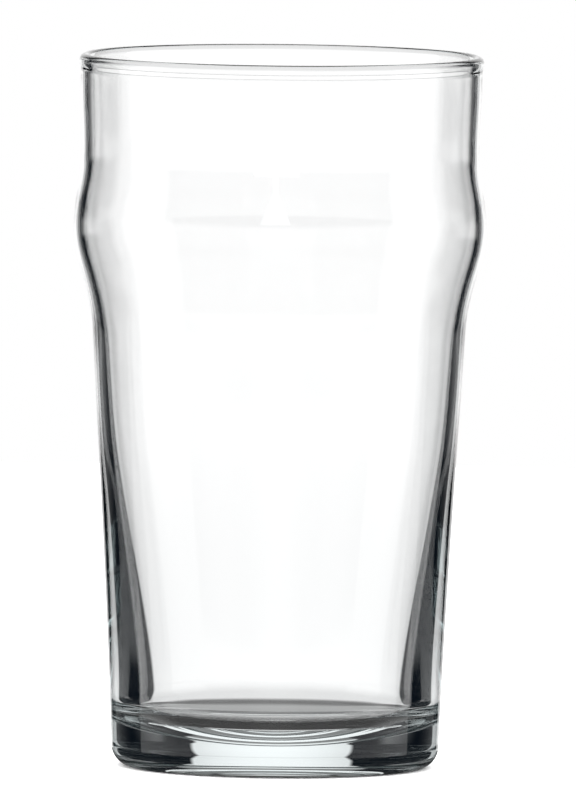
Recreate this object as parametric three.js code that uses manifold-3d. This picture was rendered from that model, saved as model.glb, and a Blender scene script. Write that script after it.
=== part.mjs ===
// A nonic pint tumbler: one glass body with a fired capacity mark on its neck.
// Millimetres, +Z up. The origin is the middle of the foot, on the surface the glass stands on.
import * as THREE from "three";
import { mergeVertices } from "three/addons/utils/BufferGeometryUtils.js";
import Module from "manifold-3d";

// Stations of the wall: r is a radius from the axis, z a height above the foot plane, slope the change
// of radius for each millimetre of height, and below and above how far the wall keeps that slope.
const HEIGHT = 152;
const HEEL = { r: 34.95, z: 4.6, slope: 0.035, above: 28 };
const SHOULDER = { r: 39.8, z: 93.6, slope: 0.057, below: 21, above: 8.8 };
const BULGE = { r: 43.95, z: 115.6, slope: 0, below: 7.3, above: 7.5 };
const WAIST = { r: 42.3, z: 132, slope: 0, below: 8.5, above: 5 };
const RIM = { r: 43.15, thickness: 2.5, domeHeight: 1.4 };
const RIM_BEAD = { depth: 3.8, step: 0.33, reach: 0.9 };
const WALL = 2.15;

// The wall is even round the neck and bulge, and thickens down the cone to the heavy base.
const CAVITY_SHOULDER = { r: 37.55, z: 94.2, slope: 0.1, below: 9, above: 9.5 };
const CAVITY_KNEE = { r: 35.4, z: 67.2, slope: 0.1, below: 14, above: 9 };
const CAVITY_CORNER = { r: 29.15, z: 14.6, slope: 0.03, below: 2, above: 10 };

// The floor is a shallow dish inside a crease, and the corner runs up from the crease to the wall.
const DISH = { r: 26.35, edgeZ: 10.3, middleZ: 5.6 };
const CREASE = { reach: 1.8, rise: 0.54, run: 0.84 };

// The underside is hollow inside the ring that the glass stands on.
const FOOT = { innerR: 27.4, outerR: 30.7 };
const HOLLOW = { depth: 1.3, levelR: 17 };

// The capacity mark is a thin layer, drawn a little proud of the glass.
const MARK = { gap: 0.15, thickness: 0.15, bottom: 118.3, turn: -1.4 };
const MARK_BAR = { width: 9.4, height: 1.2 };
const MARK_STEM = { width: 1.0, height: 3.6 };
const MARK_ARROW = { width: 6.4, height: 6.6 };

const SEGMENTS = 64;
const ELLIPSE_PULL = 0.5523;

const point = (r, z) => new THREE.Vector2(r, z);

// A span of the wall between two stations, up or down.
function span(from, to) {
  const rises = to.z > from.z;
  const leave = rises ? from.above : -from.below;
  const arrive = rises ? -to.below : to.above;
  return new THREE.CubicBezierCurve(
    point(from.r, from.z),
    point(from.r + leave * from.slope, from.z + leave),
    point(to.r + arrive * to.slope, to.z + arrive),
    point(to.r, to.z),
  );
}

// A quarter of an ellipse from one point to another, leaving from level ground or from a plumb wall.
function corner(from, to, leavesLevel) {
  const level = (a, b) => point(a.x + ELLIPSE_PULL * (b.x - a.x), a.y);
  const plumb = (a, b) => point(a.x, a.y + ELLIPSE_PULL * (b.y - a.y));
  return leavesLevel
    ? new THREE.CubicBezierCurve(from, level(from, to), plumb(to, from), to)
    : new THREE.CubicBezierCurve(from, plumb(from, to), level(to, from), to);
}

// The points of joined curves, each cut into its own number of steps.
function outline(curves) {
  const points = [curves[0][0].getPoint(0)];
  curves.forEach(([curve, steps]) => points.push(...curve.getPoints(steps).slice(1)));
  return points;
}

// Where the rim's bead starts, on the outside of the neck.
function neckStation() {
  return { r: RIM.r - RIM_BEAD.step, z: HEIGHT - RIM_BEAD.depth, slope: 0, below: 6, above: RIM_BEAD.reach };
}

// The hollow, the foot ring and the rounded heel.
function undersideCurves() {
  const ringInner = point(FOOT.innerR, 0);
  const ringOuter = point(FOOT.outerR, 0);
  const hollow = new THREE.QuadraticBezierCurve(
    point(0, HOLLOW.depth), point(HOLLOW.levelR, HOLLOW.depth), ringInner);
  return [
    [hollow, 4],
    [new THREE.LineCurve(ringInner, ringOuter), 1],
    [corner(ringOuter, point(HEEL.r, HEEL.z), true), 5],
  ];
}

// The outside from the heel to just under the rim's bead.
function outerCurves() {
  return [
    [span(HEEL, SHOULDER), 4],
    [span(SHOULDER, BULGE), 6],
    [span(BULGE, WAIST), 5],
    [span(WAIST, neckStation()), 3],
  ];
}

// The bead, from the neck over the crest to the inside of the lip.
function rimCurves() {
  const lipZ = HEIGHT - RIM.domeHeight;
  const lip = { r: RIM.r, z: lipZ, slope: 0, below: RIM_BEAD.reach };
  const crest = point(RIM.r - RIM.thickness / 2, HEIGHT);
  return [
    [span(neckStation(), lip), 2],
    [corner(point(RIM.r, lipZ), crest, false), 3],
    [corner(crest, point(RIM.r - RIM.thickness, lipZ), true), 3],
  ];
}

// The inside, from the lip down to the middle of the floor.
function cavityCurves() {
  const lip = { r: RIM.r - RIM.thickness, z: HEIGHT - RIM.domeHeight, slope: 0, below: 6 };
  const waist = { ...WAIST, r: WAIST.r - WALL, above: 6 };
  const bulge = { ...BULGE, r: BULGE.r - WALL, z: BULGE.z + 0.2 };
  const foot = { r: CAVITY_CORNER.r, z: CAVITY_CORNER.z };
  const crease = point(DISH.r, DISH.edgeZ);
  const downWall = point(foot.r - CAVITY_CORNER.slope * CAVITY_CORNER.below, foot.z - CAVITY_CORNER.below);
  const upFromCrease = point(DISH.r + CREASE.reach * CREASE.run, DISH.edgeZ + CREASE.reach * CREASE.rise);
  return [
    [span(lip, waist), 3],
    [span(waist, bulge), 5],
    [span(bulge, CAVITY_SHOULDER), 6],
    [span(CAVITY_SHOULDER, CAVITY_KNEE), 3],
    [span(CAVITY_KNEE, CAVITY_CORNER), 5],
    [new THREE.CubicBezierCurve(point(foot.r, foot.z), downWall, upFromCrease, crease), 4],
    [new THREE.QuadraticBezierCurve(crease, point(DISH.r / 2, DISH.middleZ), point(0, DISH.middleZ)), 5],
  ];
}

function lathe(points) {
  return new THREE.LatheGeometry(points, SEGMENTS).rotateX(Math.PI / 2);
}

function glassBody() {
  const profile = outline([...undersideCurves(), ...outerCurves(), ...rimCurves(), ...cavityCurves()]);
  const material = new THREE.MeshStandardMaterial({
    color: 0xdfe8e6, roughness: 0.03, metalness: 0, transparent: true, opacity: 0.35,
  });
  const mesh = new THREE.Mesh(lathe(profile), material);
  mesh.name = "glass_body";
  return mesh;
}

const wasm = await Module();
wasm.setup();

function toSolid(geometry) {
  const bare = geometry.clone().deleteAttribute("normal").deleteAttribute("uv");
  const merged = mergeVertices(bare, 1e-4);
  const indices = new Uint32Array(merged.index.array);
  const mesh = new wasm.Mesh({
    numProp: 3, vertProperties: merged.attributes.position.array, triVerts: indices,
  });
  return new wasm.Manifold(mesh);
}

function toGeometry(solid) {
  const mesh = solid.getMesh();
  const geometry = new THREE.BufferGeometry();
  geometry.setAttribute("position", new THREE.BufferAttribute(mesh.vertProperties, 3));
  geometry.setIndex(new THREE.BufferAttribute(mesh.triVerts, 1));
  geometry.computeVertexNormals();
  return geometry;
}

// A thin sleeve round the outside, parallel to the glass and clear of it.
function sleeve() {
  const wall = outline(outerCurves());
  const offset = (distance) => wall.map((p, i) => {
    const before = wall[Math.max(i - 1, 0)];
    const after = wall[Math.min(i + 1, wall.length - 1)];
    const along = after.clone().sub(before).normalize();
    return point(p.x + distance * along.y, p.y - distance * along.x);
  });
  const inside = offset(MARK.gap);
  const outside = offset(MARK.gap + MARK.thickness);
  return lathe([...outside, ...inside.reverse(), outside[0]]);
}

// A level bar on a short stem, over an arrowhead that points up to it: a fill line with no lettering.
function markOutline() {
  const stem = MARK_STEM.width / 2;
  const arrow = MARK_ARROW.width / 2;
  const bar = MARK_BAR.width / 2;
  const arrowTop = MARK_ARROW.height;
  const barBottom = arrowTop + MARK_STEM.height;
  const barTop = barBottom + MARK_BAR.height;
  return new THREE.Shape([
    point(-arrow, 0), point(arrow, 0), point(stem, arrowTop), point(stem, barBottom),
    point(bar, barBottom), point(bar, barTop), point(-bar, barTop), point(-bar, barBottom),
    point(-stem, barBottom), point(-stem, arrowTop),
  ]);
}

function capacityMark() {
  const reach = BULGE.r + 5;
  const block = new THREE.ExtrudeGeometry(markOutline(), { depth: reach, bevelEnabled: false });
  block.rotateX(Math.PI / 2).translate(0, 0, MARK.bottom);
  const mark = toSolid(sleeve()).intersect(toSolid(block));
  const material = new THREE.MeshStandardMaterial({ color: 0xeef1f0, roughness: 0.6, metalness: 0 });
  const mesh = new THREE.Mesh(toGeometry(mark), material);
  mesh.name = "capacity_mark";
  mesh.rotation.z = THREE.MathUtils.degToRad(MARK.turn);
  return mesh;
}

const pintGlass = new THREE.Group();
pintGlass.add(glassBody(), capacityMark());

export default pintGlass;
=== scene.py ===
"""A nonic pint glass with a faint fired fill mark, in a bright-field studio."""

import math

import bpy
from mathutils import Euler, Matrix, Vector


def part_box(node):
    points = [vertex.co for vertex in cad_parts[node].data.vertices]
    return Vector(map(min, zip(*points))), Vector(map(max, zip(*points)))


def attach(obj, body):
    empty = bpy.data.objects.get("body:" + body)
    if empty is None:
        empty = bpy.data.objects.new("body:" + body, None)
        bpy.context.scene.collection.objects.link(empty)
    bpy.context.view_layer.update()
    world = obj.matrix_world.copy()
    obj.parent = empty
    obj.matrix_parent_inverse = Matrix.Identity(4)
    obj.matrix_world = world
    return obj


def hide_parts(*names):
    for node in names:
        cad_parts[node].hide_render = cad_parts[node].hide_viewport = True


bl_info = {
    "name": "Pint glass",
    "version": (1, 0, 0),
    "blender": (4, 5, 0),
    "location": "View3D > Sidebar > Pint glass",
    "description": "Makes a nonic pint glass, its fill mark and a bright studio around it",
    "category": "Object",
}

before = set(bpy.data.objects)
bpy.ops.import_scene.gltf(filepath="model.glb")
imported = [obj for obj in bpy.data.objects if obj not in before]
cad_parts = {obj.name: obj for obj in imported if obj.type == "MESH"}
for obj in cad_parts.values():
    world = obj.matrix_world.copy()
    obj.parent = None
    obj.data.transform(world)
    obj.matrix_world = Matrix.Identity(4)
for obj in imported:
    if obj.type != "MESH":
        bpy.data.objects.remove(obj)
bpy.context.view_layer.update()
BODY_LOW, BODY_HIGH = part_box("glass_body")
MARK_LOW, MARK_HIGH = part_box("capacity_mark")

MM = 0.001
HEIGHT = BODY_HIGH.z - BODY_LOW.z
BULGE_RADIUS = (BODY_HIGH.x - BODY_LOW.x) / 2

ROUND_STEPS = 256
DISC_STEPS = 128
ELLIPSE_PULL = 0.5523

# The rim's bead: how deep it is, how far it stands out, and how far each end keeps plumb.
BEAD_DEPTH = 3.8 * MM
BEAD_STEP = 0.33 * MM
BEAD_REACH = 0.9 * MM
RIM_DOME = 1.4 * MM

# The underside: the hollow's depth, where it starts to fall, and the ring the glass stands on.
PUNT_DEPTH = 1.3 * MM
PUNT_LEVEL = 17 * MM
FOOT_INNER = 27.4 * MM
FOOT_OUTER = 30.7 * MM

# The inside below the bulge: the wall's radii, and the corner and the bowl's edge above the floor.
CAVITY_SHOULDER = 37.55 * MM
CAVITY_KNEE = Vector((35.4 * MM, 67.2 * MM))
CORNER_RADIUS, CORNER_RISE = 29.15 * MM, 9.0 * MM
BOWL_RADIUS, BOWL_RISE = 26.35 * MM, 4.7 * MM
BULGE_LIFT = 0.2 * MM
SHOULDER_LIFT = 0.6 * MM

# The mark: half-widths and heights of an arrowhead, its stem and a level bar.
ARROW_HALF, ARROW_HEIGHT = 3.2 * MM, 6.6 * MM
STEM_HALF = 0.5 * MM
BAR_HEIGHT = 1.2 * MM
MARK_LIFT, MARK_THICKNESS = 0.01 * MM, 0.03 * MM
MARK_COLUMNS = 12

# The stage: discs under the foot, one of them a disc of painted shade, the camera's framing and
# how many bounces light may take.
FLOOR_RADIUS, FLOOR_DROP = 0.9, 0.02 * MM
SHADE_RADIUS, SHADE_DROP = 56 * MM, 0.1 * MM
VIEW_HEIGHT = 171.46 * MM
VIEW_MIDDLE = Vector((2.05 * MM, 0, 77.85 * MM))
CAMERA_ROLL = math.radians(0.59)
SENSOR_WIDTH = 36.0
LIGHT_BOUNCES = 24


class GlassShape(bpy.types.PropertyGroup):
    """Sizes of the glass, as radii from its axis and heights above its foot."""

    rim_radius: bpy.props.FloatProperty(
        name="Rim radius",
        description="Outside of the rim's bead",
        default=43.15 * MM,
        subtype="DISTANCE",
        unit="LENGTH",
    )
    rim_thickness: bpy.props.FloatProperty(
        name="Rim thickness",
        description="Across the rim's bead",
        default=2.5 * MM,
        subtype="DISTANCE",
        unit="LENGTH",
    )
    waist_radius: bpy.props.FloatProperty(
        name="Waist radius",
        description="Outside of the neck at its narrowest",
        default=42.3 * MM,
        subtype="DISTANCE",
        unit="LENGTH",
    )
    waist_height: bpy.props.FloatProperty(
        name="Waist height",
        description="Where the neck is narrowest",
        default=132 * MM,
        subtype="DISTANCE",
        unit="LENGTH",
    )
    bulge_height: bpy.props.FloatProperty(
        name="Bulge height",
        description="Where the bulge is widest",
        default=115.6 * MM,
        subtype="DISTANCE",
        unit="LENGTH",
    )
    shoulder_radius: bpy.props.FloatProperty(
        name="Shoulder radius",
        description="Outside of the cone where it turns out into the bulge",
        default=39.8 * MM,
        subtype="DISTANCE",
        unit="LENGTH",
    )
    shoulder_height: bpy.props.FloatProperty(
        name="Shoulder height",
        description="Where the cone turns out into the bulge",
        default=93.6 * MM,
        subtype="DISTANCE",
        unit="LENGTH",
    )
    heel_radius: bpy.props.FloatProperty(
        name="Heel radius",
        description="Outside of the base, just above its rounded heel",
        default=34.95 * MM,
        subtype="DISTANCE",
        unit="LENGTH",
    )
    heel_height: bpy.props.FloatProperty(
        name="Heel height",
        description="How high the rounded heel reaches",
        default=4.6 * MM,
        subtype="DISTANCE",
        unit="LENGTH",
    )
    wall: bpy.props.FloatProperty(
        name="Wall",
        description="Thickness of the blown wall round the neck and bulge",
        default=2.15 * MM,
        subtype="DISTANCE",
        unit="LENGTH",
    )
    floor_height: bpy.props.FloatProperty(
        name="Floor height",
        description="Lowest point of the bowl-shaped floor",
        default=5.6 * MM,
        subtype="DISTANCE",
        unit="LENGTH",
    )


class GlassLook(bpy.types.PropertyGroup):
    """Finish of the glass and of its mark."""

    absorbed: bpy.props.FloatVectorProperty(
        name="Depth colour",
        description="Colour that the glass takes on in its thick parts",
        default=(0.80, 0.90, 0.91),
        subtype="COLOR",
        size=3,
        min=0.0,
        max=1.0,
    )
    density: bpy.props.FloatProperty(
        name="Depth density",
        description="How soon the depth colour shows, for each metre of glass",
        default=9.0,
        min=0.0,
    )
    ior: bpy.props.FloatProperty(
        name="Refractive index", description="Of soda-lime glass", default=1.52, min=1.0
    )
    foot_wear: bpy.props.FloatProperty(
        name="Foot wear",
        description="Roughness of the scuffs on the ring the glass stands on",
        default=0.35,
        subtype="FACTOR",
        min=0.0,
        max=1.0,
    )
    rim_wear: bpy.props.FloatProperty(
        name="Rim wear",
        description="Roughness of the faint rubbing along the crest of the rim",
        default=0.06,
        subtype="FACTOR",
        min=0.0,
        max=1.0,
    )
    mark_colour: bpy.props.FloatVectorProperty(
        name="Mark colour",
        description="Colour of the fired mark",
        default=(0.80, 0.82, 0.82),
        subtype="COLOR",
        size=3,
        min=0.0,
        max=1.0,
    )
    mark_cover: bpy.props.FloatProperty(
        name="Mark cover",
        description="How much of what is behind it the mark hides",
        default=0.10,
        subtype="FACTOR",
        min=0.0,
        max=1.0,
    )


class Studio(bpy.types.PropertyGroup):
    """The bright field behind the glass, and the camera."""

    field: bpy.props.FloatProperty(
        name="Bright field",
        description="Half the width of each bright side of the studio, seen from the glass",
        default=math.radians(20.8),
        subtype="ANGLE",
        unit="ROTATION",
    )
    brightness: bpy.props.FloatProperty(
        name="Brightness", description="Of the bright sides", default=1.1, min=0.0
    )
    floor_light: bpy.props.FloatProperty(
        name="Floor light",
        description="Of the room, where it lights the floor",
        default=3.0,
        min=0.0,
    )
    lens: bpy.props.FloatProperty(
        name="Lens",
        description="Focal length of the camera",
        default=1100.0,
        min=1.0,
        subtype="DISTANCE_CAMERA",
        unit="CAMERA",
    )
    camera_height: bpy.props.FloatProperty(
        name="Camera elevation",
        description="How far above the horizon the camera looks down from",
        default=math.radians(3.95),
        subtype="ANGLE",
        unit="ROTATION",
    )


# Outline of the glass


def curve(a, b, c, d, steps):
    """Points of a cubic curve after its first."""
    points = []
    for i in range(1, steps + 1):
        t = i / steps
        s = 1 - t
        points.append(s**3 * a + 3 * s * s * t * b + 3 * s * t * t * c + t**3 * d)
    return points


def span(start, end, start_reach, end_reach, start_slope=0.0, end_slope=0.0, steps=24):
    """A wall between two stations: each end keeps its slope, radius over height, for its reach."""
    way = math.copysign(1, end.y - start.y)
    leave = Vector((start_slope, 1.0)) * way * start_reach
    arrive = Vector((end_slope, 1.0)) * way * end_reach
    return curve(start, start + leave, end - arrive, end, steps)


def corner(start, end, leaves_level, steps=12):
    """A quarter of an ellipse that leaves level, or plumb."""
    flat = Vector((end.x - start.x, 0)) * ELLIPSE_PULL
    plumb = Vector((0, end.y - start.y)) * ELLIPSE_PULL
    if leaves_level:
        return curve(start, start + flat, end - plumb, end, steps)
    return curve(start, start + plumb, end - flat, end, steps)


def dish(start, pull, end, steps):
    """A quadratic curve after its first point, pulled towards the point in its middle."""
    return curve(start, start.lerp(pull, 2 / 3), pull.lerp(end, 1 / 3), end, steps)


def outer_stations(shape):
    """Stations of the outside, from the heel to just under the rim's bead."""
    return {
        "heel": Vector((shape.heel_radius, shape.heel_height)),
        "shoulder": Vector((shape.shoulder_radius, shape.shoulder_height)),
        "bulge": Vector((BULGE_RADIUS, shape.bulge_height)),
        "waist": Vector((shape.waist_radius, shape.waist_height)),
        "neck": Vector((shape.rim_radius - BEAD_STEP, HEIGHT - BEAD_DEPTH)),
    }


def outer_wall(shape):
    """Outside of the wall, from the heel to just under the rim's bead."""
    at = outer_stations(shape)
    return [
        at["heel"],
        *span(at["heel"], at["shoulder"], 28 * MM, 21 * MM, 0.035, 0.057, steps=40),
        *span(at["shoulder"], at["bulge"], 8.8 * MM, 7.3 * MM, 0.057, 0.0),
        *span(at["bulge"], at["waist"], 7.5 * MM, 8.5 * MM),
        *span(at["waist"], at["neck"], 5 * MM, 6 * MM, steps=16),
    ]


def underside(shape):
    """The hollow under the base, the flat ring it stands on and the rounded heel."""
    punt = Vector((0, PUNT_DEPTH))
    level = Vector((PUNT_LEVEL, PUNT_DEPTH))
    ring_inner = Vector((FOOT_INNER, 0))
    ring_outer = Vector((FOOT_OUTER, 0))
    heel = outer_stations(shape)["heel"]
    return [
        punt,
        *dish(punt, level, ring_inner, 20),
        ring_outer,
        *corner(ring_outer, heel, leaves_level=True, steps=16)[:-1],
    ]


def rim_bead(shape):
    """The rounded rim, from under its bead, over its crest, to the inside of the wall."""
    neck = outer_stations(shape)["neck"]
    lip = Vector((shape.rim_radius, HEIGHT - RIM_DOME))
    crest = Vector((shape.rim_radius - shape.rim_thickness / 2, HEIGHT))
    inner_lip = Vector((shape.rim_radius - shape.rim_thickness, lip.y))
    return [
        *span(neck, lip, BEAD_REACH, BEAD_REACH, steps=8),
        *corner(lip, crest, leaves_level=False, steps=8),
        *corner(crest, inner_lip, leaves_level=True, steps=8),
    ]


def cavity(shape):
    """The inside, from the rim down to the middle of the floor."""
    at = outer_stations(shape)
    floor = shape.floor_height
    inner_lip = Vector((shape.rim_radius - shape.rim_thickness, HEIGHT - RIM_DOME))
    waist = Vector((at["waist"].x - shape.wall, at["waist"].y))
    bulge = Vector((BULGE_RADIUS - shape.wall, shape.bulge_height + BULGE_LIFT))
    shoulder = Vector((CAVITY_SHOULDER, shape.shoulder_height + SHOULDER_LIFT))
    corner_top = Vector((CORNER_RADIUS, floor + CORNER_RISE))
    bowl_edge = Vector((BOWL_RADIUS, floor + BOWL_RISE))
    below_top = corner_top - Vector((0.03, 1.0)) * 2.0 * MM
    above_edge = bowl_edge + Vector((0.84, 0.54)) * 1.8 * MM
    return [
        *span(inner_lip, waist, 6 * MM, 6 * MM, steps=20),
        *span(waist, bulge, 8.5 * MM, 7.5 * MM),
        *span(bulge, shoulder, 7.3 * MM, 9.5 * MM, 0.0, 0.1),
        *span(shoulder, CAVITY_KNEE, 9 * MM, 9 * MM, 0.1, 0.1, steps=20),
        *span(CAVITY_KNEE, corner_top, 14 * MM, 10 * MM, 0.1, 0.03, steps=40),
        *curve(corner_top, below_top, above_edge, bowl_edge, 16),
        *dish(bowl_edge, Vector((BOWL_RADIUS / 2, floor)), Vector((0, floor)), 28),
    ]


def glass_profile(shape):
    """The glass's whole section, from the middle of its underside to the middle of its floor."""
    return [*underside(shape), *outer_wall(shape), *rim_bead(shape), *cavity(shape)]


# Meshes


def mesh_object(name, vertices, faces):
    """A smooth-shaded object with this mesh, in the scene."""
    mesh = bpy.data.meshes.new(name)
    mesh.from_pydata(vertices, [], faces)
    mesh.update()
    mesh.shade_smooth()
    made = bpy.data.objects.new(name, mesh)
    bpy.context.scene.collection.objects.link(made)
    return made


def turned(profile):
    """Vertices and faces of a closed body turned from a profile with both ends on the axis."""
    rings = profile[1:-1]
    vertices = [(0, 0, profile[0].y)]
    for p in rings:
        for k in range(ROUND_STEPS):
            angle = 2 * math.pi * k / ROUND_STEPS
            vertices.append((p.x * math.sin(angle), -p.x * math.cos(angle), p.y))
    vertices.append((0, 0, profile[-1].y))
    last = len(vertices) - 1
    first_of_last = last - ROUND_STEPS
    faces = []
    for k in range(ROUND_STEPS):
        after = (k + 1) % ROUND_STEPS
        faces.append((0, 1 + after, 1 + k))
        faces.append((last, first_of_last + k, first_of_last + after))
        for i in range(len(rings) - 1):
            low = 1 + i * ROUND_STEPS
            high = low + ROUND_STEPS
            faces.append((low + k, low + after, high + after, high + k))
    return vertices, faces


def wall_radius(shape, height):
    """Outside radius of the wall at a height."""
    wall = outer_wall(shape)
    for low, high in zip(wall, wall[1:]):
        if low.y <= height <= high.y:
            share = (height - low.y) / (high.y - low.y)
            return low.x + share * (high.x - low.x)
    raise ValueError(f"no wall at a height of {height}")


def even_rows(low, high, half_low, half_high, steps):
    """Evenly spaced rows of height and half-width."""
    shares = [i / steps for i in range(steps + 1)]
    return [
        (low + share * (high - low), half_low + share * (half_high - half_low))
        for share in shares
    ]


def mark_bands():
    """The mark's rows of height and half-width: the arrowhead with its stem, then the bar."""
    low, high = MARK_LOW.z, MARK_HIGH.z
    arrow_top = low + ARROW_HEIGHT
    bar_bottom = high - BAR_HEIGHT
    bar_half = (MARK_HIGH.x - MARK_LOW.x) / 2
    arrow = even_rows(low, arrow_top, ARROW_HALF, STEM_HALF, 12)
    stem = even_rows(arrow_top, bar_bottom, STEM_HALF, STEM_HALF, 6)
    return [arrow[:-1] + stem, even_rows(bar_bottom, high, bar_half, bar_half, 3)]


def mark_patch(shape):
    """Vertices and faces of a closed layer that follows the outside of the wall."""
    middle = (MARK_LOW.x + MARK_HIGH.x) / 2
    turn = math.asin(middle / BULGE_RADIUS)
    wide = MARK_COLUMNS + 1
    vertices, faces = [], []
    for band in mark_bands():
        start, rows = len(vertices), len(band) - 1
        sheet = len(band) * wide
        for side in (MARK_LIFT + MARK_THICKNESS, MARK_LIFT):
            for height, half in band:
                radius = wall_radius(shape, height)
                for k in range(wide):
                    across = half * (2 * k / MARK_COLUMNS - 1)
                    angle = turn + across / radius
                    reach = radius + side
                    vertices.append((reach * math.sin(angle), -reach * math.cos(angle), height))
        for i in range(rows):
            for k in range(MARK_COLUMNS):
                a = start + i * wide + k
                b = a + wide
                faces.append((a, a + 1, b + 1, b))
                faces.append((b + sheet, b + 1 + sheet, a + 1 + sheet, a + sheet))
        for i in range(rows):
            a = start + i * wide
            b = a + wide
            end_a, end_b = a + MARK_COLUMNS, b + MARK_COLUMNS
            faces.append((a, b, b + sheet, a + sheet))
            faces.append((end_b, end_a, end_a + sheet, end_b + sheet))
        for k in range(MARK_COLUMNS):
            a = start + k
            b = start + rows * wide + k
            faces.append((a + 1, a, a + sheet, a + 1 + sheet))
            faces.append((b, b + 1, b + 1 + sheet, b + sheet))
    return vertices, faces


def disc(name, radius, drop, material):
    """A level disc a little below the ground, in one material."""
    turns = [2 * math.pi * k / DISC_STEPS for k in range(DISC_STEPS)]
    ring = [(radius * math.cos(turn), radius * math.sin(turn), -drop) for turn in turns]
    made = mesh_object(name, ring, [tuple(range(DISC_STEPS))])
    made.data.materials.append(material)
    return made


# Materials


def new_material(name):
    """A material with only its output, and that output."""
    material = bpy.data.materials.new(name)
    material.use_nodes = True
    nodes = material.node_tree.nodes
    nodes.clear()
    return material, nodes.new("ShaderNodeOutputMaterial")


def math_node(tree, operation, *values):
    """A Math node's output, with each value a number or a socket."""
    node = tree.nodes.new("ShaderNodeMath")
    node.operation = operation
    for socket, value in zip(node.inputs, values):
        if isinstance(value, bpy.types.NodeSocket):
            tree.links.new(value, socket)
        else:
            socket.default_value = value
    return node.outputs[0]


def ramp(tree, value, low, high, out_low=0.0, out_high=1.0):
    """A value eased from one output to the other between two inputs."""
    node = tree.nodes.new("ShaderNodeMapRange")
    node.interpolation_type = "SMOOTHSTEP"
    tree.links.new(value, node.inputs["Value"])
    node.inputs["From Min"].default_value = low
    node.inputs["From Max"].default_value = high
    node.inputs["To Min"].default_value = out_low
    node.inputs["To Max"].default_value = out_high
    return node.outputs["Result"]


def degree_ramp(tree, angle, low, high, out_low=0.0, out_high=1.0):
    """An eased ramp over an angle, with its two ends in degrees."""
    return ramp(tree, angle, math.radians(low), math.radians(high), out_low, out_high)


def product(tree, first, *others):
    """Numbers and sockets multiplied together."""
    for other in others:
        first = math_node(tree, "MULTIPLY", first, other)
    return first


def glass_flow_group():
    """Height of the faint draw lines and ripples that moulded glass keeps."""
    group = bpy.data.node_groups.new("Glass flow", "ShaderNodeTree")
    group.interface.new_socket("Scale", in_out="INPUT", socket_type="NodeSocketFloat")
    group.interface.new_socket("Stretch", in_out="INPUT", socket_type="NodeSocketFloat")
    group.interface.new_socket("Height", in_out="OUTPUT", socket_type="NodeSocketFloat")
    inputs = group.nodes.new("NodeGroupInput")
    outputs = group.nodes.new("NodeGroupOutput")
    place = group.nodes.new("ShaderNodeTexCoord")
    squeeze = group.nodes.new("ShaderNodeCombineXYZ")
    squeeze.inputs["X"].default_value = 1.0
    squeeze.inputs["Y"].default_value = 1.0
    scaled = group.nodes.new("ShaderNodeVectorMath")
    scaled.operation = "MULTIPLY"
    noise = group.nodes.new("ShaderNodeTexNoise")
    noise.inputs["Detail"].default_value = 1.5
    noise.inputs["Roughness"].default_value = 0.4
    group.links.new(inputs.outputs["Stretch"], squeeze.inputs["Z"])
    group.links.new(place.outputs["Object"], scaled.inputs[0])
    group.links.new(squeeze.outputs["Vector"], scaled.inputs[1])
    group.links.new(scaled.outputs["Vector"], noise.inputs["Vector"])
    group.links.new(inputs.outputs["Scale"], noise.inputs["Scale"])
    group.links.new(noise.outputs["Fac"], outputs.inputs["Height"])
    return group


def ring_wear_group():
    """Roughness where the foot ring and the rim have been rubbed, in patches."""
    group = bpy.data.node_groups.new("Ring wear", "ShaderNodeTree")
    group.interface.new_socket("Foot", in_out="INPUT", socket_type="NodeSocketFloat")
    group.interface.new_socket("Rim", in_out="INPUT", socket_type="NodeSocketFloat")
    group.interface.new_socket("Roughness", in_out="OUTPUT", socket_type="NodeSocketFloat")
    inputs = group.nodes.new("NodeGroupInput")
    outputs = group.nodes.new("NodeGroupOutput")
    place = group.nodes.new("ShaderNodeTexCoord")
    axes = group.nodes.new("ShaderNodeSeparateXYZ")
    group.links.new(place.outputs["Object"], axes.inputs["Vector"])
    height = axes.outputs["Z"]
    scuffs = group.nodes.new("ShaderNodeTexNoise")
    scuffs.inputs["Scale"].default_value = 700.0
    scuffs.inputs["Detail"].default_value = 4.0
    group.links.new(place.outputs["Object"], scuffs.inputs["Vector"])
    patches = ramp(group, scuffs.outputs["Fac"], 0.42, 0.62)
    foot = ramp(group, height, 0.05 * MM, 0.3 * MM, 1.0, 0.0)
    rim = ramp(group, height, HEIGHT - 0.5 * MM, HEIGHT)
    foot = product(group, foot, inputs.outputs["Foot"])
    rim = product(group, rim, inputs.outputs["Rim"])
    rubbed = product(group, math_node(group, "ADD", foot, rim), patches)
    group.links.new(rubbed, outputs.inputs["Roughness"])
    return group


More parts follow.
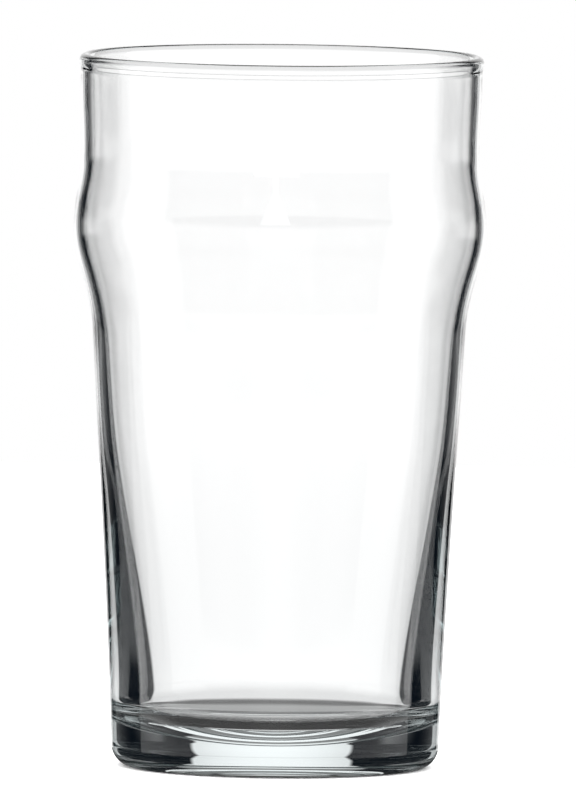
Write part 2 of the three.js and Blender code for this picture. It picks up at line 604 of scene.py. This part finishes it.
def clear_glass(look):
    """Clear glass with a cool tint in depth, faint flow, and wear on its foot ring and rim."""
    material, output = new_material("clear_glass")
    tree = material.node_tree
    glass = tree.nodes.new("ShaderNodeBsdfPrincipled")
    glass.inputs["Base Color"].default_value = (1, 1, 1, 1)
    glass.inputs["Metallic"].default_value = 0.0
    glass.inputs["Transmission Weight"].default_value = 1.0
    glass.inputs["IOR"].default_value = look.ior
    depth = tree.nodes.new("ShaderNodeVolumeAbsorption")
    depth.inputs["Color"].default_value = (*look.absorbed, 1)
    depth.inputs["Density"].default_value = look.density
    wear = tree.nodes.new("ShaderNodeGroup")
    wear.node_tree = ring_wear_group()
    wear.inputs["Foot"].default_value = look.foot_wear
    wear.inputs["Rim"].default_value = look.rim_wear
    tree.links.new(wear.outputs["Roughness"], glass.inputs["Roughness"])
    flow = tree.nodes.new("ShaderNodeGroup")
    flow.node_tree = glass_flow_group()
    flow.inputs["Scale"].default_value = 60.0
    flow.inputs["Stretch"].default_value = 0.5
    bump = tree.nodes.new("ShaderNodeBump")
    bump.inputs["Strength"].default_value = 1.0
    bump.inputs["Distance"].default_value = 0.02 * MM
    tree.links.new(flow.outputs["Height"], bump.inputs["Height"])
    tree.links.new(bump.outputs["Normal"], glass.inputs["Normal"])
    tree.links.new(glass.outputs["BSDF"], output.inputs["Surface"])
    tree.links.new(depth.outputs["Volume"], output.inputs["Volume"])
    return material


def fired_mark(look):
    """A thin pale layer, worn to a cloudy ghost by washing."""
    material, output = new_material("fired_mark")
    tree = material.node_tree
    paint = tree.nodes.new("ShaderNodeBsdfPrincipled")
    paint.inputs["Base Color"].default_value = (*look.mark_colour, 1)
    paint.inputs["Specular IOR Level"].default_value = 0.1
    place = tree.nodes.new("ShaderNodeTexCoord")
    clouds = tree.nodes.new("ShaderNodeTexNoise")
    clouds.inputs["Scale"].default_value = 350.0
    clouds.inputs["Detail"].default_value = 2.0
    tree.links.new(place.outputs["Object"], clouds.inputs["Vector"])
    cloud = clouds.outputs["Fac"]
    thinnest, thickest = look.mark_cover * 0.6, look.mark_cover * 1.4
    tree.links.new(ramp(tree, cloud, 0.25, 0.75, thinnest, thickest), paint.inputs["Alpha"])
    tree.links.new(ramp(tree, cloud, 0.3, 0.7, 0.5, 0.75), paint.inputs["Roughness"])
    tree.links.new(paint.outputs["BSDF"], output.inputs["Surface"])
    return material


def matt_floor():
    """A pale matt table."""
    material, output = new_material("pale_floor")
    tree = material.node_tree
    paper = tree.nodes.new("ShaderNodeBsdfDiffuse")
    paper.inputs["Color"].default_value = (0.95, 0.95, 0.95, 1)
    tree.links.new(paper.outputs["BSDF"], output.inputs["Surface"])
    return material


def painted_floor_shade():
    """Painted shade on the floor: a glowing grey pool under and behind the foot that ends in a
    dark ring.
    """
    material, output = new_material("painted_floor_shade")
    tree = material.node_tree
    place = tree.nodes.new("ShaderNodeTexCoord")
    axes = tree.nodes.new("ShaderNodeSeparateXYZ")
    away = tree.nodes.new("ShaderNodeVectorMath")
    away.operation = "LENGTH"
    tree.links.new(place.outputs["Object"], axes.inputs["Vector"])
    tree.links.new(place.outputs["Object"], away.inputs[0])
    x, y, r = axes.outputs["X"], axes.outputs["Y"], away.outputs["Value"]
    # Painted shade: a glowing surface, dim behind the foot, darker in front, in a ring round it
    # and to the sides, and clear beyond.
    behind = ramp(tree, y, -16 * MM, 8 * MM, 0.02, 0.42)
    ring = ramp(tree, r, 45 * MM, 48.5 * MM, 1.0, 0.35)
    aside = ramp(tree, math_node(tree, "ABSOLUTE", x), 27 * MM, 36 * MM, 1.0, 0.05)
    painted_shade_glow = tree.nodes.new("ShaderNodeEmission")
    tree.links.new(product(tree, behind, ring, aside), painted_shade_glow.inputs["Strength"])
    clear = tree.nodes.new("ShaderNodeBsdfTransparent")
    mix = tree.nodes.new("ShaderNodeMixShader")
    tree.links.new(ramp(tree, r, 50 * MM, 55 * MM), mix.inputs["Fac"])
    tree.links.new(painted_shade_glow.outputs["Emission"], mix.inputs[1])
    tree.links.new(clear.outputs["BSDF"], mix.inputs[2])
    tree.links.new(mix.outputs["Shader"], output.inputs["Surface"])
    return material


def room_darkness(tree, studio, y, rise, aside):
    """How dark the room is, and the share of that by height.

    Its corners are dark, and so is the camera's side above the horizon.
    """
    low = degree_ramp(tree, rise, -3, -1.4, 1.0, 0.0)
    above = degree_ramp(tree, rise, -24, -18)
    below = degree_ramp(tree, rise, 44, 60, 1.0, 0.0)
    narrowing = product(tree, low, math.radians(2.3))
    half = math_node(tree, "SUBTRACT", studio.field, narrowing)
    past_edge = math_node(tree, "SUBTRACT", aside, half)
    corner_share = degree_ramp(tree, past_edge, -0.9, 0.9)
    far_corner = degree_ramp(tree, aside, 29, 35)
    horizon = product(tree, degree_ramp(tree, rise, -7, -5), low)
    eased = math_node(tree, "ADD", product(tree, far_corner, horizon, -0.6), 1.0)
    raised = degree_ramp(tree, rise, 0.5, 3)
    rear = math_node(tree, "MAXIMUM", ramp(tree, y, -0.35, -0.1), raised)
    height_share = product(tree, above, below)
    corners = product(tree, corner_share, height_share, eased, rear)
    front = product(tree, ramp(tree, y, -0.95, -0.8, 1.0, 0.0), raised, below)
    return math_node(tree, "MAXIMUM", corners, front), height_share


def room_light(tree, studio, y, rise, aside, height_share):
    """How bright the sides are: most in the middle of each, less near the ground and overhead."""
    share = math_node(tree, "DIVIDE", aside, math.radians(19))
    share = math_node(tree, "MINIMUM", share, 1.0)
    falloff = product(tree, share, share, -0.2, height_share)
    return product(
        tree,
        math_node(tree, "ADD", falloff, 1.0),
        degree_ramp(tree, rise, -20, -6, 0.78, 1.0),
        degree_ramp(tree, rise, 17, 28, 1.0, 0.22),
        ramp(tree, y, 0.3, 0.8, 0.92, 1.0),
        studio.brightness,
    )


def bright_field_world(studio):
    """A pale room whose bright sides and dark corners draw the edges of clear glass."""
    world = bpy.data.worlds.new("bright_field")
    world.use_nodes = True
    tree = world.node_tree
    tree.nodes.clear()
    output = tree.nodes.new("ShaderNodeOutputWorld")
    place = tree.nodes.new("ShaderNodeTexCoord")
    axes = tree.nodes.new("ShaderNodeSeparateXYZ")
    tree.links.new(place.outputs["Generated"], axes.inputs["Vector"])
    x, y, z = (axes.outputs[name] for name in "XYZ")
    rise = math_node(tree, "ARCSINE", z)
    turn = math_node(tree, "SUBTRACT", math_node(tree, "ARCTAN2", x, y), math.radians(1))
    aside = math_node(tree, "PINGPONG", turn, math.radians(45))
    dark, height_share = room_darkness(tree, studio, y, rise, aside)
    lit = room_light(tree, studio, y, rise, aside, height_share)

    white = tree.nodes.new("ShaderNodeCombineXYZ")
    for name in "XYZ":
        tree.links.new(lit, white.inputs[name])
    mix = tree.nodes.new("ShaderNodeMix")
    mix.data_type = "RGBA"
    mix.inputs["B"].default_value = (0.003, 0.005, 0.008, 1)
    tree.links.new(dark, mix.inputs["Factor"])
    tree.links.new(white.outputs["Vector"], mix.inputs["A"])
    seen_by_glass = tree.nodes.new("ShaderNodeBackground")
    tree.links.new(mix.outputs["Result"], seen_by_glass.inputs["Color"])

    # The camera and the matt floor see a plain white room instead.
    path = tree.nodes.new("ShaderNodeLightPath")
    seen, scattered = path.outputs["Is Camera Ray"], path.outputs["Is Diffuse Ray"]
    plain = tree.nodes.new("ShaderNodeBackground")
    plain.inputs["Color"].default_value = (1, 1, 1, 1)
    on_floor = product(tree, scattered, studio.floor_light - 1)
    tree.links.new(math_node(tree, "ADD", on_floor, 1.0), plain.inputs["Strength"])
    choose = tree.nodes.new("ShaderNodeMixShader")
    tree.links.new(math_node(tree, "MAXIMUM", seen, scattered), choose.inputs["Fac"])
    tree.links.new(seen_by_glass.outputs["Background"], choose.inputs[1])
    tree.links.new(plain.outputs["Background"], choose.inputs[2])
    tree.links.new(choose.outputs["Shader"], output.inputs["Surface"])
    return world


# Stage


def stage_floor():
    """A round pale floor just under the foot."""
    floor = disc("floor", FLOOR_RADIUS, FLOOR_DROP, matt_floor())
    floor.visible_transmission = False
    floor.visible_glossy = False
    return floor


def painted_shade_disc():
    """Painted shade on the floor close to the foot: a glowing disc that only the glass's
    reflections and refractions see.
    """
    shade = disc("painted_floor_shade", SHADE_RADIUS, SHADE_DROP, painted_floor_shade())
    shade.visible_camera = False
    shade.visible_diffuse = False
    shade.visible_shadow = False
    return shade


def long_camera(studio):
    """A distant camera, a little above the rim, that frames the glass nearly full height."""
    data = bpy.data.cameras.new("camera")
    data.lens = studio.lens
    data.sensor_width = SENSOR_WIDTH
    distance = VIEW_HEIGHT * studio.lens / SENSOR_WIDTH
    data.clip_end = distance * 4
    camera = bpy.data.objects.new("camera", data)
    bpy.context.scene.collection.objects.link(camera)
    turn = Euler((math.radians(90) - studio.camera_height, 0, 0)).to_matrix()
    turn = turn @ Matrix.Rotation(CAMERA_ROLL, 3, "Z")
    place = Matrix.Translation(VIEW_MIDDLE + turn @ Vector((0, 0, distance)))
    camera.matrix_world = place @ turn.to_4x4()
    return camera


# Operators


class MakeGlassBody(bpy.types.Operator):
    """Turn the glass body from its section, in place of its faceted frame piece"""

    bl_idname = "pint_glass.make_body"
    bl_label = "Make glass body"

    def execute(self, context):
        shape = context.scene.pint_glass_shape
        body = mesh_object("glass", *turned(glass_profile(shape)))
        body.data.materials.append(clear_glass(context.scene.pint_glass_look))
        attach(body, "root")
        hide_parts("glass_body")
        return {"FINISHED"}


class MakeFillMark(bpy.types.Operator):
    """Lay the thin fired fill mark on the neck, in place of its frame piece"""

    bl_idname = "pint_glass.make_mark"
    bl_label = "Make fill mark"

    def execute(self, context):
        shape = context.scene.pint_glass_shape
        vertices, faces = mark_patch(shape)
        mark = mesh_object("fill_mark", vertices, faces)
        mark.data.materials.append(fired_mark(context.scene.pint_glass_look))
        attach(mark, "root")
        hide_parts("capacity_mark")
        return {"FINISHED"}


class MakeStage(bpy.types.Operator):
    """Set the pale floor, the disc of painted shade under the glass, the bright studio and the
    camera
    """

    bl_idname = "pint_glass.make_stage"
    bl_label = "Make stage"

    def execute(self, context):
        scene = context.scene
        studio = scene.pint_glass_studio
        stage_floor()
        painted_shade_disc()
        scene.world = bright_field_world(studio)
        scene.view_settings.view_transform = "Standard"
        scene.camera = long_camera(studio)
        for kind in ("max_bounces", "transmission_bounces", "glossy_bounces"):
            setattr(scene.cycles, kind, LIGHT_BOUNCES)
        return {"FINISHED"}


class PintGlassPanel(bpy.types.Panel):
    """Sizes, finish and studio of the pint glass"""

    bl_idname = "VIEW3D_PT_pint_glass"
    bl_label = "Pint glass"
    bl_space_type = "VIEW_3D"
    bl_region_type = "UI"
    bl_category = "Pint glass"

    def draw(self, context):
        scene = context.scene
        for group in (scene.pint_glass_shape, scene.pint_glass_look, scene.pint_glass_studio):
            box = self.layout.box()
            for name in group.__annotations__:
                box.prop(group, name)
        for operator in OPERATORS:
            self.layout.operator(operator.bl_idname)


OPERATORS = (MakeGlassBody, MakeFillMark, MakeStage)
CLASSES = (GlassShape, GlassLook, Studio, *OPERATORS, PintGlassPanel)


def register():
    for cls in CLASSES:
        bpy.utils.register_class(cls)
    bpy.types.Scene.pint_glass_shape = bpy.props.PointerProperty(type=GlassShape)
    bpy.types.Scene.pint_glass_look = bpy.props.PointerProperty(type=GlassLook)
    bpy.types.Scene.pint_glass_studio = bpy.props.PointerProperty(type=Studio)


def unregister():
    del bpy.types.Scene.pint_glass_studio
    del bpy.types.Scene.pint_glass_look
    del bpy.types.Scene.pint_glass_shape
    for cls in reversed(CLASSES):
        bpy.utils.unregister_class(cls)


def main():
    register()
    bpy.ops.pint_glass.make_body()
    bpy.ops.pint_glass.make_mark()
    bpy.ops.pint_glass.make_stage()


if __name__ == "__main__":
    main()
